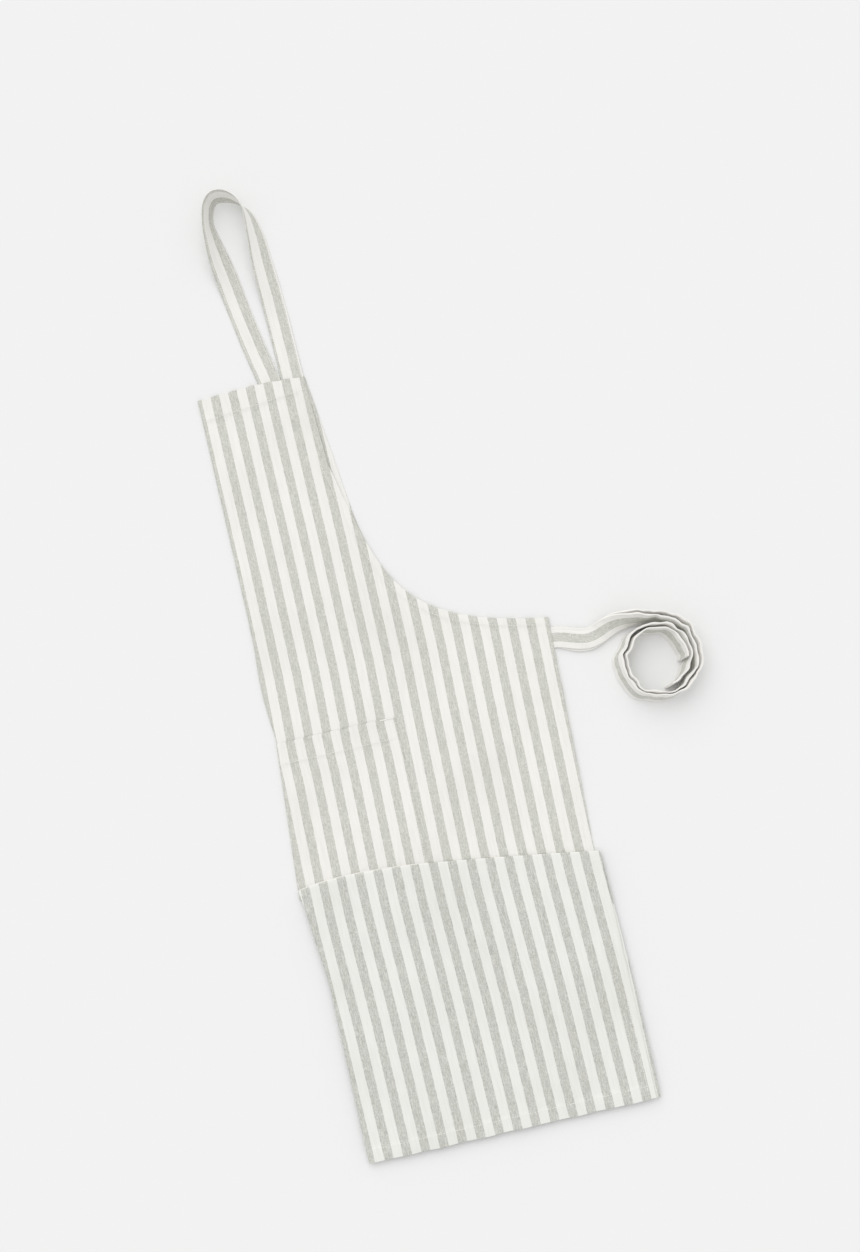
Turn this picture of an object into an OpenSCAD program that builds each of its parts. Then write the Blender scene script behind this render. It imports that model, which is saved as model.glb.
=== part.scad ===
// Striped bib apron, folded in half along its centre, with one pleat across the skirt.
// X runs from the centre fold to the open side, Y from the hem to the bib, Z up.
// The origin is the middle of the folded waist, on the surface that the apron lies on.

/* [Cloth] */
// Thickness of one layer of cloth
ply = 0.4; // [0.3:0.05:0.5]
// Thickness of the strap's and the ties' tape
tape_ply = 0.35; // [0.25:0.05:0.45]
// Air between parts that turn against each other at a fold
fold_gap = 0.4; // [0.35:0.05:0.8]
// Width of the rolled edge at the centre fold
fold_w = 1.2; // [0.8:0.1:2]

/* [Bib] */
// Width of the folded bib along its top edge
bib_w = 130; // [100:1:160]
// Height of the bib above the waist
bib_h = 347; // [290:1:420]
// How far the bib's open edge leans out before the armhole
bib_flare = 5; // [0:0.5:12]
// Length of the bib's open edge above the armhole
arm_start = 108; // [80:1:130]
// Lean of the armhole curve where it leaves the bib, in degrees
arm_lean = 12.5; // [6:0.5:20]
// Rise of the armhole curve where it meets the waist, in degrees
arm_rise = 8.8; // [4:0.2:14]
// Reach of the armhole curve down from the bib
arm_reach_down = 145; // [110:1:175]
// Reach of the armhole curve in from the waist
arm_reach_in = 186; // [140:1:220]
// How far the rear layer slips out past the front one at the armhole
arm_slip = 9; // [0:0.5:14]

/* [Skirt] */
// Width of the folded apron at the waist
waist_w = 351; // [290:1:430]
// Lean of the upper skirt's side edge, in degrees
side_lean = 1.8; // [0:0.1:3]
// How much narrower the folded skirt is below the pleat
lower_inset = 3; // [0:0.5:5]
// Distance from the waist down to the bottom hem
hem_drop = 590; // [480:1:700]
// Bow of the lower skirt's side edge
side_bow = 0.5; // [0:0.5:6]
// How far the rear layer of the lower skirt slips out
hem_slip = 5; // [0:0.5:12]
// How far the lower skirt's fold stands out at the hem
hem_out = 5; // [0:0.5:10]

/* [Pleat] */
// Distance from the waist to the crest's hinge line, at the centre fold
crest_drop = 239.5; // [200:0.5:290]
// Slope of the pleat across the skirt, in degrees
crest_angle = 5.2; // [0:0.1:8]
// How far the crest's ends sag below its hinge line
crest_sag = 15; // [6:0.5:17]
// Depth of the pleat behind its crest
pleat_depth = 24; // [20:0.5:32]
// Clearance between a plate's end and its hinge line
hinge_clear = 0.5; // [0.4:0.05:1]

/* [Pocket] */
// Width of the folded pocket
pocket_w = 145; // [110:1:180]
// Distance from the waist down to the pocket's top edge
pocket_drop = 75; // [50:1:110]
// Lean of the centre fold beside the pocket, in degrees
fold_lean = 4.5; // [0:0.1:6]
// Width of the pocket's rolled edge outside the centre fold
pocket_fold_w = 0.8; // [0.5:0.1:1.5]

/* [Neck strap] */
// Width of the neck strap
strap_w = 27; // [20:1:32]
// Distance between the middles of the strap's two sewn ends
strap_pitch = 28; // [28:0.5:40]
// Depth of a sewn end between the layers
sewn_depth = 24; // [15:1:35]
// Length that the loop stands out past the bib
loop_len = 231; // [190:1:270]
// Gap between a sewn end and the tape that moves
seam_gap = 0.4; // [0.3:0.05:0.8]

/* [Waist ties] */
// Width of each tie
tie_w = 25; // [18:1:30]
// Distance from the waist corner down to the ties' upper edge
tie_drop = 13; // [8:1:30]
// Distance from the side edge to the middle of the roll
roll_reach = 114; // [105:1:140]
// Distance from the waist down to the middle of the roll
roll_drop = 78; // [65:1:95]
// Outer radius of the roll
roll_r = 55; // [48:1:62]
// Radius at the free end inside the roll
roll_inner_r = 36; // [28:1:40]
// Gap between the two ties in the roll
roll_gap = 2.6; // [1.5:0.1:3.5]
// How far the rear tie slips down beside the front one
tie_slip = 5; // [0:0.5:8]

/* [Stitching] */
// Width of a row of stitching
thread_w = 0.8; // [0.6:0.1:1.2]
// Height of a row of stitching above the cloth
thread_h = 0.15; // [0.1:0.05:0.2]
// Depth of the bib's top hem at the centre fold
top_hem = 28; // [20:1:35]
// Depth of the bib's top hem at the open edge
top_hem_end = 17; // [12:1:30]
// Depth of the hems along the armhole and the sides
edge_hem = 10; // [7:0.5:14]
// Depth of the bottom hem
bottom_hem = 17; // [12:1:30]
// Depth of the pocket's top hem
pocket_hem = 27; // [15:1:30]
// Distance from the pocket's edge to its stitching
pocket_seam = 3; // [2:0.5:6]
// Length of the bar of stitching at the pocket's top corner
tack_len = 16; // [6:1:24]
// Distance from a tape's edge to its stitching
tape_seam = 2.5; // [1.5:0.5:4]
// Height of the stitching above a tape
tape_thread_h = 0.08; // [0.05:0.01:0.1]

/* [Hidden] */

white_cloth = [0.94, 0.93, 0.91];
grey_stripe = [0.8, 0.81, 0.77];
thread_white = [0.96, 0.95, 0.93];

// Heights in a folded stack: a rear layer twice as thick, a space for sewn ends, a front layer,
// and the pocket outside both
rear_top = 2 * ply;
front_low = 3 * ply;
front_top = 4 * ply;
stack_h = 5 * ply;
valley_z = stack_h + fold_gap / 2;
crest_z = 2 * stack_h + 1.5 * fold_gap;
lower_z = 2 * (stack_h + fold_gap);

lower_w = waist_w - lower_inset;
curve_steps = 16;
function bezier(a, b, c, d, n = curve_steps) = [for (i = [0:n]) let (t = i / n, s = 1 - t)
    s * s * s * a + 3 * s * s * t * b + 3 * s * t * t * c + t * t * t * d];
function unit(v) = v / norm(v);
function last(v) = v[len(v) - 1];
function backwards(v) = [for (i = [len(v) - 1:-1:0]) v[i]];

// Straight line across the skirt, parallel to the crest's hinge line and "down" below it
function across(x, down) = -crest_drop - down / cos(crest_angle) - x * tan(crest_angle);
// Where that line meets the centre fold and the open side of the upper skirt
function fold_end(down) = let (y0 = across(0, down), k = tan(fold_lean),
    x = (y0 + pocket_drop) * k / (1 + k * tan(crest_angle))) [x, across(x, down)];
function side_end(down) = let (y0 = across(0, down), k = tan(side_lean),
    x = (waist_w + y0 * k) / (1 + k * tan(crest_angle))) [x, across(x, down)];

valley_fold = fold_end(pleat_depth - hinge_clear);
valley_side = side_end(pleat_depth - hinge_clear);
crest_fold = fold_end(crest_sag);
crest_side = [lower_w, across(lower_w, crest_sag)];
// The crest's two bends: the share of the skirt's width and the drop below the hinge line
crest_bends = [[0.17, -8], [0.57, 4.3]];
function crest_bend(p) = [lower_w * p[0], across(lower_w * p[0], p[1])];
crest_line = bezier(crest_fold, crest_bend(crest_bends[0]), crest_bend(crest_bends[1]), crest_side);

function armhole(slip) = bezier([bib_w + bib_flare + slip, bib_h - arm_start],
    [bib_w + bib_flare - slip, bib_h - arm_start] + arm_reach_down * [sin(arm_lean), -cos(arm_lean)],
    [waist_w, 0] + arm_reach_in * [-cos(arm_rise), sin(arm_rise)], [waist_w, 0]);

upper_fold_edge = [[0, bib_h], [0, -pocket_drop], valley_fold];
function upper_outline(slip) = concat([[bib_w, bib_h]], armhole(slip), [valley_side],
    backwards(upper_fold_edge));

// The pleat's plate is drawn where it lies and turned over when it is built
pleat_fold_edge = [valley_fold, crest_fold];
pleat_outline = concat([valley_side, valley_fold], crest_line);

// The fold returns from the crest towards the centre line, then runs out again to the hem
fold_return = [[5, -50], [11, -118]];
lower_fold_edge = [crest_fold, crest_fold + fold_return[0], crest_fold + fold_return[1],
    [-hem_out, -hem_drop]];
side_round = 60;
side_run = 98;
function lower_side(slip) = bezier(crest_side, crest_side + [slip / 2 + side_bow, -side_round],
    [lower_w + slip + side_bow, side_run - hem_drop], [lower_w + slip, -hem_drop]);
function lower_outline(slip) = concat(crest_line, lower_side(slip), backwards(lower_fold_edge));

module slab(points, low, high) {
    translate([0, 0, low]) linear_extrude(high - low) polygon(points);
}

// Strip of a given width beside a line of points, on its +X side
module fold_strip(points, width, low, high) {
    slab(concat(points, backwards([for (p = points) p + [width, 0]])), low, high);
}

// Line of points moved to its own right, and a row of stitching along one
function inset(points, d) = [for (i = [0:len(points) - 1])
    let (before = unit(points[max(i, 1)] - points[max(i, 1) - 1]),
        after = unit(points[min(i, len(points) - 2) + 1] - points[min(i, len(points) - 2)]),
        along = unit(before + after))
    points[i] + d * [along[1], -along[0]] / max(0.5, along * before)];
module stitch_row(points, d, z) {
    slab(concat(inset(points, d - thread_w / 2), backwards(inset(points, d + thread_w / 2))),
        z, z + thread_h);
}
function trimmed(points, from, to) = [for (i = [from:len(points) - 1 - to]) points[i]];

module at_frame() {
    translate([-waist_w / 2, 0, 0]) children();
}

// Turns a stack over about the valley's height
module turned_over() {
    translate([0, 0, 2 * valley_z]) mirror([0, 0, 1]) children();
}

module folded_panel(front, rear, fold_edge) {
    slab(front, front_low, front_top);
    slab(rear, 0, rear_top);
    fold_strip(fold_edge, fold_w, 0, front_top);
}

module folded_pocket(half, fold_edge) {
    slab(half, front_top, stack_h);
    slab(half, 0, ply);
    fold_strip(outside(fold_edge), pocket_fold_w, 0, stack_h);
}

// The pocket's corners at the valley and along the crest, with its fold outside the apron's
pocket_fold_edge = [[0, -pocket_drop], valley_fold];
pocket_valley = [pocket_w, across(pocket_w, pleat_depth - hinge_clear)];
pocket_crest = [pocket_w, lookup(pocket_w, crest_line)];
function outside(points) = [for (p = points) p - [pocket_fold_w, 0]];
upper_pocket_half = concat(outside(pocket_fold_edge), [pocket_valley, [pocket_w, -pocket_drop]]);
pleat_pocket_half = concat(outside([valley_fold]), [pocket_valley, pocket_crest],
    backwards([for (p = crest_line) if (p[0] > crest_fold[0] && p[0] < pocket_w) p]),
    outside([crest_fold]));

// Sewn ends lie between the layers: strap ends and the front tie in the space, the rear tie let in
strap_x = [bib_w - strap_w / 2, bib_w - strap_w / 2 - strap_pitch];
tie_y = -tie_drop - tie_w / 2;
side_x = waist_w + tie_y * tan(side_lean);
module tie_end(z) {
    translate([side_x - sewn_depth, tie_y - tie_w / 2, z]) cube([sewn_depth, tie_w, ply]);
}

// A tape swept along a route of [x, y, z, roll]: a roll of 0 lies flat and 90 stands on edge.
// "shift" moves it across its width and "lift" off its upper face.
function smooth(route, n) = concat([for (i = [0:len(route) - 2], k = [0:n - 1])
    let (t = k / n, a = route[max(i - 1, 0)], b = route[i], c = route[i + 1],
        d = route[min(i + 2, len(route) - 1)])
    0.5 * (2 * b + t * (c - a) + t * t * (2 * a - 5 * b + 4 * c - d)
        + t * t * t * (3 * b - a - 3 * c + d))], [last(route)]);
// Height of a tape's middle line, from that of its lower edge
function raised(route, width) = [for (p = route)
    [p[0], p[1], p[2] + (width * sin(p[3]) + tape_ply * abs(cos(p[3]))) / 2, p[3]]];
function place(p) = [p[0], p[1], p[2]];
function heading(route, i) =
    unit(place(route[min(i + 1, len(route) - 1)]) - place(route[max(i - 1, 0)]));
function wide(route, i) = let (run = heading(route, i), level = unit([-run[1], run[0], 0]))
    level * cos(route[i][3]) + cross(run, level) * sin(route[i][3]);
function deep(route, i) = cross(heading(route, i), wide(route, i));
function beside(route, shifts, lifts) = [for (i = [0:len(route) - 1])
    let (p = place(route[i]) + wide(route, i) * shifts[i] + deep(route, i) * lifts[i])
    [p[0], p[1], p[2], route[i][3]]];
module tape(route, width, thick, shift = 0, lift = 0) {
    n = len(route);
    points = [for (i = [0:n - 1], c = [[-1, -1], [1, -1], [1, 1], [-1, 1]])
        place(route[i]) + wide(route, i) * (shift + c[0] * width / 2)
            + deep(route, i) * (lift + c[1] * thick / 2)];
    // Both broad faces are split along the same diagonal, so that a twist keeps its thickness
    sides = [for (i = [0:n - 2], k = [0:3]) let (a = 4 * i + k, b = 4 * i + (k + 1) % 4)
        each k < 2 ? [[b + 4, b, a], [a + 4, b + 4, a]] : [[a + 4, b, a], [a + 4, b + 4, b]]];
    near_end = [[0, 1, 2], [0, 2, 3]];
    far_end = [for (f = near_end) [for (k = backwards(f)) 4 * (n - 1) + k]];
    polyhedron(points, concat(near_end, far_end, sides));
}
module edge_stitches(route, width) {
    for (side = [-1, 1])
        tape(route, thread_w, tape_thread_h, side * (width / 2 - tape_seam),
            (tape_ply + tape_thread_h) / 2);
}

// The loop's route, from the sewn end beside the corner round to the one at the corner. Each point
// is its place in from the corner, its share of the loop's length and its roll: the tape stands
// on edge at the top and comes down with its other face up.
strap_turns = [[51, 0.23, 0], [58, 0.42, 0], [62.5, 0.56, 6], [66.5, 0.68, 25], [69.5, 0.79, 48],
    [70, 0.88, 62], [65.5, 0.96, 62], [57, 1, 60], [46, 1, 62], [35, 0.975, 74], [26, 0.93, 92],
    [20.5, 0.87, 115], [18, 0.76, 137], [17.5, 0.62, 155], [16, 0.47, 170], [14.8, 0.3, 178]];
tape_low = 0.25;
settle_share = 0.2;
straight_run = 3;
function settle(share) = tape_low + (rear_top - tape_low) * max(0, 1 - share / settle_share);
function strap_start(x, roll, out) = [x, bib_h + seam_gap + out, settle(0), roll];
strap_points = [for (p = strap_turns) [bib_w - p[0], bib_h + p[1] * loop_len, settle(p[1]), p[2]]];
strap_route = raised(concat([strap_start(strap_x[1], 0, 0)],
    smooth(concat([strap_start(strap_x[1], 0, straight_run)], strap_points,
        [strap_start(strap_x[0], 180, straight_run)]), 4),
    [strap_start(strap_x[0], 180, 0)]), strap_w);

// Both ties run out from the side, turn on edge and roll up together clockwise. Each point of the
// run is its place from the side, its height above the settled tape as a share, its roll, and how
// much of the rear tie's slip it has.
tie_start = waist_w - tie_drop * tan(side_lean) + seam_gap;
tie_run = [[straight_run, 0, 1, 0, 0], [12, -1.5, 0.7, 0, 0.4], [22, -4, 0.4, 0, 1],
    [32, -6, 0.2, 0, 0], [42, -6.5, 0.1, 0, 0], [53, -4, 0, 8, 0], [65, 2.5, 0, 24, 0],
    [77, 7, 0, 45, 0]];
function tie_point(p, slip) = [tie_start + p[0], tie_y + p[1] - slip * p[4],
    tape_low + p[2] * (ply - tape_low), p[3]];
roll_x = side_x + roll_reach;
roll_step = 15;
roll_from = 20;
roll_bearing = 110;
// Turns in degrees, over which the radius shrinks and at which each tie ends
roll_spread = 520;
front_turn = 485;
rear_turn = 545;
function tie_roll(turned) = [for (a = [roll_from:roll_step:turned])
    let (bearing = roll_bearing - a, radius = roll_r - (roll_r - roll_inner_r) * a / roll_spread)
    [roll_x + radius * cos(bearing), -roll_drop + radius * sin(bearing), tape_low,
        a == roll_from ? 80 : 90]];
function tie_route(turned, slip) = raised(concat([tie_point([0, 0, 1, 0, 0], 0)],
    smooth(concat([for (p = tie_run) tie_point(p, slip)], [tie_roll(turned)[0]]), 4),
    trimmed(tie_roll(turned), 1, 0)), tie_w);
rear_tie_route = tie_route(rear_turn, tie_slip);
// The front tie lies on the rear one, and ends inside it in the roll
full_gap_roll = 40;
front_base = tie_route(front_turn, 0);
front_tie_route = beside(front_base, [for (p = front_base) 0],
    [for (p = front_base) ply + 0.05 + (roll_gap - ply) * min(1, p[3] / full_gap_roll)]);

module upper_panel() color(white_cloth) at_frame() difference() {
    folded_panel(upper_outline(0), upper_outline(arm_slip), upper_fold_edge);
    slab(upper_pocket_half, -ply, ply);
    tie_end(ply);
}

module pocket() color(grey_stripe) at_frame() folded_pocket(upper_pocket_half, pocket_fold_edge);

module strap_ends() color(white_cloth) at_frame() for (x = strap_x)
    translate([x - strap_w / 2, bib_h - sewn_depth, rear_top]) cube([strap_w, sewn_depth, ply]);

module front_tie_end() color(white_cloth) at_frame() tie_end(rear_top);

module rear_tie_end() color(white_cloth) at_frame() tie_end(ply);

module top_hem_stitching() color(thread_white) at_frame()
    stitch_row([[fold_w, bib_h - top_hem], [bib_w + 1, bib_h - top_hem_end]], 0, front_top);

module armhole_stitching() color(thread_white) at_frame()
    stitch_row(concat([[bib_w + 0.5, bib_h - top_hem_end - 2]], trimmed(armhole(0), 0, 1)),
        edge_hem, front_top);

module upper_side_stitching() color(thread_white) at_frame()
    stitch_row([[waist_w, -2 * ply], side_end(crest_sag + 1)], edge_hem, front_top);

// The row along the hem stops short of the one down the pocket's edge
module pocket_hem_stitching() color(thread_white) at_frame()
    stitch_row([[0, -pocket_drop - pocket_hem],
        [pocket_w - pocket_seam - thread_w, -pocket_drop - pocket_hem]], 0, stack_h);

module pocket_edge_stitching() color(thread_white) at_frame()
    stitch_row([[pocket_w, -pocket_drop - 2], [pocket_w, across(pocket_w, 6)]], pocket_seam, stack_h);

module pocket_bar_tack() color(thread_white) at_frame()
    translate([pocket_w - tack_len - 2, -pocket_drop - 2, stack_h]) cube([tack_len, 2 * thread_w, thread_h]);

module pleat_panel() color(white_cloth) at_frame() turned_over() difference() {
    folded_panel(pleat_outline, pleat_outline, pleat_fold_edge);
    slab(pleat_pocket_half, -ply, ply);
}

module pleat_pocket() color(grey_stripe) at_frame() turned_over()
    folded_pocket(pleat_pocket_half, pleat_fold_edge);

module lower_panel() color(white_cloth) at_frame() translate([0, 0, lower_z])
    folded_panel(lower_outline(0), lower_outline(hem_slip), lower_fold_edge);

module lower_side_stitching() color(thread_white) at_frame()
    stitch_row(trimmed(lower_side(0), 1, 1), edge_hem, lower_z + front_top);

module bottom_hem_stitching() color(thread_white) at_frame()
    stitch_row([[lower_w - 1, -hem_drop], [-3, -hem_drop]], bottom_hem, lower_z + front_top);

module neck_strap() color(white_cloth) at_frame() tape(strap_route, strap_w, tape_ply);

module strap_edge_stitching() color(thread_white) at_frame() edge_stitches(strap_route, strap_w);

module front_waist_tie() color(white_cloth) at_frame() tape(front_tie_route, tie_w, tape_ply);

module rear_waist_tie() color(white_cloth) at_frame() tape(rear_tie_route, tie_w, tape_ply);

module tie_edge_stitching() color(thread_white) at_frame() {
    edge_stitches(front_tie_route, tie_w);
    edge_stitches(rear_tie_route, tie_w);
}

upper_panel();
pocket();
strap_ends();
front_tie_end();
rear_tie_end();
top_hem_stitching();
armhole_stitching();
upper_side_stitching();
pocket_hem_stitching();
pocket_edge_stitching();
pocket_bar_tack();
pleat_panel();
pleat_pocket();
lower_panel();
lower_side_stitching();
bottom_hem_stitching();
neck_strap();
strap_edge_stitching();
front_waist_tie();
rear_waist_tie();
tie_edge_stitching();
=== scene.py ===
import bpy
import math
import numpy as np
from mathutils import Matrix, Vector, noise
from mathutils.bvhtree import BVHTree
from mathutils.geometry import delaunay_2d_cdt


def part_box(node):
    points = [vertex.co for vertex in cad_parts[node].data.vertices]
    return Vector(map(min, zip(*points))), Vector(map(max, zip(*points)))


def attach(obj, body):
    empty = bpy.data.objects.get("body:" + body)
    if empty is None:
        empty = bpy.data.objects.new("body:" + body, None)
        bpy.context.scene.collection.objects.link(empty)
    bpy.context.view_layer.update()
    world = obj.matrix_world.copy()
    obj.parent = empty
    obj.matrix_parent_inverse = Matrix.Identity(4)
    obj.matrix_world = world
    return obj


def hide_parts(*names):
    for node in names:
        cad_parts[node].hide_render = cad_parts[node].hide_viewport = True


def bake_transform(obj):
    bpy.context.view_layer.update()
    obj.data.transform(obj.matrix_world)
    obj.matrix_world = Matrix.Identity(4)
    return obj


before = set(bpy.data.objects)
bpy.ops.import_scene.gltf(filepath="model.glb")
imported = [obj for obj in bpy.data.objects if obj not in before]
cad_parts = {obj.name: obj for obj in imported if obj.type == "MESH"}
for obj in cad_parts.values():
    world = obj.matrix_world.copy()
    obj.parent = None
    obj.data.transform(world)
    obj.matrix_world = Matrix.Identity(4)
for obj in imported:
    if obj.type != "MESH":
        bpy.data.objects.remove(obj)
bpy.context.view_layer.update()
print("frame loaded")

# All shaping is in millimetres: x from the centre fold, y up from the waist, z up from the table.
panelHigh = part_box("upper_panel")[1]
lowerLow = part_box("lower_panel")[0]
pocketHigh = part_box("pocket")[1]
mm = 0.001  # one millimetre in the frame's metres
foldX = -175.5  # where the centre fold lies in the frame
waistWidth = panelHigh.x * 1000 - foldX
bibTop = panelHigh.y * 1000
hemY = lowerLow.y * 1000
pocketTop = pocketHigh.y * 1000
pocketWidth = pocketHigh.x * 1000 - foldX


def smoothStep(low, high, value):
    t = np.clip((value - low) / (high - low), 0, 1)
    return t * t * (3 - 2 * t)


def bezier(a, b, c, d, count=60):
    t = np.linspace(0, 1, count + 1)[:, None]
    a, b, c, d = (np.array(p, float) for p in (a, b, c, d))
    return (1 - t) ** 3 * a + 3 * (1 - t) ** 2 * t * b + 3 * (1 - t) * t * t * c + t ** 3 * d


def lengthsAlong(points):
    return np.concatenate([[0], np.cumsum(np.linalg.norm(np.diff(points, axis=0), axis=1))])


def resampled(points, step):
    points = np.array(points, float)
    lengths = lengthsAlong(points)
    count = max(1, int(round(lengths[-1] / step)))
    at = np.linspace(0, lengths[-1], count + 1)
    return np.stack([np.interp(at, lengths, points[:, k]) for k in range(points.shape[1])], 1)


def beside(points, distance):
    # a line parallel to another, to its right
    points = np.array(points, float)
    run = np.gradient(points, axis=0)
    run /= np.linalg.norm(run, axis=1)[:, None]
    return points + distance * np.stack([run[:, 1], -run[:, 0]], 1)


def distanceTo(points, line):
    points, line = np.array(points, float)[:, :2], np.array(line, float)
    best = np.full(len(points), 1e9)
    for a, b in zip(line[:-1], line[1:]):
        ab = b - a
        t = np.clip(((points - a) @ ab) / max(ab @ ab, 1e-9), 0, 1)
        best = np.minimum(best, np.linalg.norm(points - a - t[:, None] * ab, axis=1))
    return best


def mixed(pair, share):
    # from the first of a pair to the second
    return pair[0] + (pair[1] - pair[0]) * share


def ripple(points, size, seed):
    return np.array([noise.noise(Vector((p[0] / size, p[1] / size, seed))) for p in points])


def uneven(line, axis, height, size, seed):
    # makes a cut edge slightly uneven between its ends
    line[1:-1, axis] += height * ripple(line[1:-1], size, seed)


# The outlines of the folded apron, as it lies
apron = {
    "bibWidth": 130, "bibFlare": 4.8, "armStart": 108, "armDown": 145, "armIn": 186,
    "armLean": 12.5, "armRise": 8.8, "rearSlip": 9, "sideLean": 1.8,
    "topBow": 3.2, "scallop": 0.9, "scallopPitch": 22,
    "foldLean": 4.5, "foldBow": 3.6, "foldBowAt": -12, "foldBowReach": 45,
    "lowerInset": 3, "sideBow": 0.5, "hemSlip": 5, "hemOut": 5, "lowerFold": ((5, -50), (11, -118)),
    "topHem": 28, "topHemEnd": 17, "edgeHem": 10, "bottomHem": 17,
}
pleat = {
    "drop": 239.5, "angle": 5.2, "depth": 24, "sag": 15, "bends": ((0.17, -8), (0.57, 4.3)),
    "hemsFrom": (-245, -235), "wavesFrom": (-232, -185),  # heights where the cloth stops being flat
}
# Mid-heights of the layers, from the table up
layers = {
    "upperRear": 0.6, "upperFront": 1.55, "pleatFront": 3.0, "pleatRear": 3.8,
    "lowerRear": 5.4, "lowerFront": 6.2, "pocketFront": 2.0, "pocketRear": 0.2,
    "pleatPocketFront": 2.6, "pleatPocketRear": 4.2, "ply": 0.4, "hem": 1.0,
}
step = 5  # between points of the cloth
lowerWidth = waistWidth - apron["lowerInset"]
slope = math.tan(math.radians(pleat["angle"]))
leanOut = math.tan(math.radians(apron["foldLean"]))
leanIn = math.tan(math.radians(apron["sideLean"]))
downhill = np.array([-math.sin(math.radians(pleat["angle"])), -math.cos(math.radians(pleat["angle"]))])


def across(x, down):
    # the line across the skirt that lies "down" below the crest's hinge
    return -pleat["drop"] - down / math.cos(math.radians(pleat["angle"])) - x * slope


def foldEnd(down):
    x = (across(0, down) - pocketTop) * leanOut / (1 + leanOut * slope)
    return np.array([x, across(x, down)])


def sideEnd(down):
    x = (waistWidth + across(0, down) * leanIn) / (1 + leanIn * slope)
    return np.array([x, across(x, down)])


def armhole(slip):
    lean, rise = math.radians(apron["armLean"]), math.radians(apron["armRise"])
    top = np.array([apron["bibWidth"] + apron["bibFlare"] + slip, bibTop - apron["armStart"]])
    waist = np.array([waistWidth, 0])
    return bezier(top, top + apron["armDown"] * np.array([math.sin(lean), -math.cos(lean)]) - (2 * slip, 0),
                  waist + apron["armIn"] * np.array([-math.cos(rise), math.sin(rise)]), waist)


crestFold = foldEnd(pleat["sag"])
crestSide = np.array([lowerWidth, across(lowerWidth, pleat["sag"])])
crestBends = [np.array([lowerWidth * share, across(lowerWidth * share, down)])
              for share, down in pleat["bends"]]
crest = bezier(crestFold, crestBends[0], crestBends[1], crestSide)
valleyFold, valleySide = foldEnd(pleat["depth"]), sideEnd(pleat["depth"])
columns = 72  # across the pleat, fold to side
valleyLine = np.linspace(valleyFold, valleySide, columns + 1)
crestLine = resampled(crest, lengthsAlong(crest)[-1] / columns)
foldBends = [crestFold + p for p in apron["lowerFold"]]
lowerFold = resampled([crestFold, *foldBends, (-apron["hemOut"], hemY)], step)


def lowerSide(slip):
    return bezier(crestSide, crestSide + (slip / 2 + apron["sideBow"], -60),
                  (lowerWidth + slip + apron["sideBow"], hemY + 98), (lowerWidth + slip, hemY))


def foldAt(y):
    # x of the centre fold of the upper apron, which bows out a little near the waist
    bow = apron["foldBow"] * np.exp(-((y - apron["foldBowAt"]) / apron["foldBowReach"]) ** 2)
    bow = bow * smoothStep(pocketTop, pocketTop + 25, y)
    return np.where(y > pocketTop, -bow, (y - pocketTop) * leanOut)


def lowerFoldAt(y):
    return np.interp(-y, -lowerFold[:, 1], lowerFold[:, 0])


# Where the stripes lie: the grey stripe beside the fold drifts from the fold along the apron
stripes = {"pitch": 22.2, "grey": 10.8, "narrowing": 0.00085, "pitchAtWaist": 22.1}
driftHeights = (-640, -480, -350, -255, -90, 0, 150)
driftPlaces = (-7.6, -8.2, -10.8, -10.1, -5.6, -2.3, -0.8)


def flatten(x, y):
    # the cut cloth's own place, in millimetres, of a point of the unfolded apron
    drift = np.interp(y, driftHeights, driftPlaces)
    turns = (x - drift) / (stripes["pitchAtWaist"] - stripes["narrowing"] * y)
    return np.stack([turns * stripes["pitch"], -y], 1)


def unfoldPleat(points):
    # a point of the pleat's middle layer, turned over about the valley
    down = (points - valleyFold) @ downhill
    return points - 2 * down[:, None] * downhill


def unfoldLower(points):
    return points + 2 * pleat["depth"] * downhill


def flatUpper(points, rear):
    flat = flatten(points[:, 0], points[:, 1])
    if rear:
        flat[:, 0] = 2 * flatten(foldAt(points[:, 1]), points[:, 1])[:, 0] - flat[:, 0]
    return flat


def flatPleat(points, rear):
    t = np.clip((points[:, 0] - valleyFold[0]) / (valleySide[0] - valleyFold[0]), 0, 1)
    edge = valleyFold + (crestFold - valleyFold) * np.clip(
        ((points - valleyFold) @ -downhill) / pleat["depth"], 0, 1)[:, None]
    flat, fold = (flatten(*unfoldPleat(p).T) for p in (points, edge))
    return np.stack([2 * fold[:, 0] - flat[:, 0], flat[:, 1]], 1) if rear else flat


def flatLower(points, rear):
    edge = np.stack([lowerFoldAt(points[:, 1]), points[:, 1]], 1)
    flat, fold = (flatten(*unfoldLower(p).T) for p in (points, edge))
    return np.stack([2 * fold[:, 0] - flat[:, 0], flat[:, 1]], 1) if rear else flat


def newPiece(name, points, faces):
    # a mesh from points in millimetres, measured from the centre fold
    mesh = bpy.data.meshes.new(name)
    mesh.from_pydata((np.array(points) * mm + (foldX * mm, 0, 0)).tolist(), [], faces)
    piece = bpy.data.objects.new(name, mesh)
    bpy.context.collection.objects.link(piece)
    return piece


def storeFlat(piece, corners):
    # keeps the cut cloth's own places, one for each face corner, as the piece's UV map
    layer = piece.data.uv_layers.new(name="flat")
    layer.data.foreach_set("uv", (np.array(corners) * mm).ravel())


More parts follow.
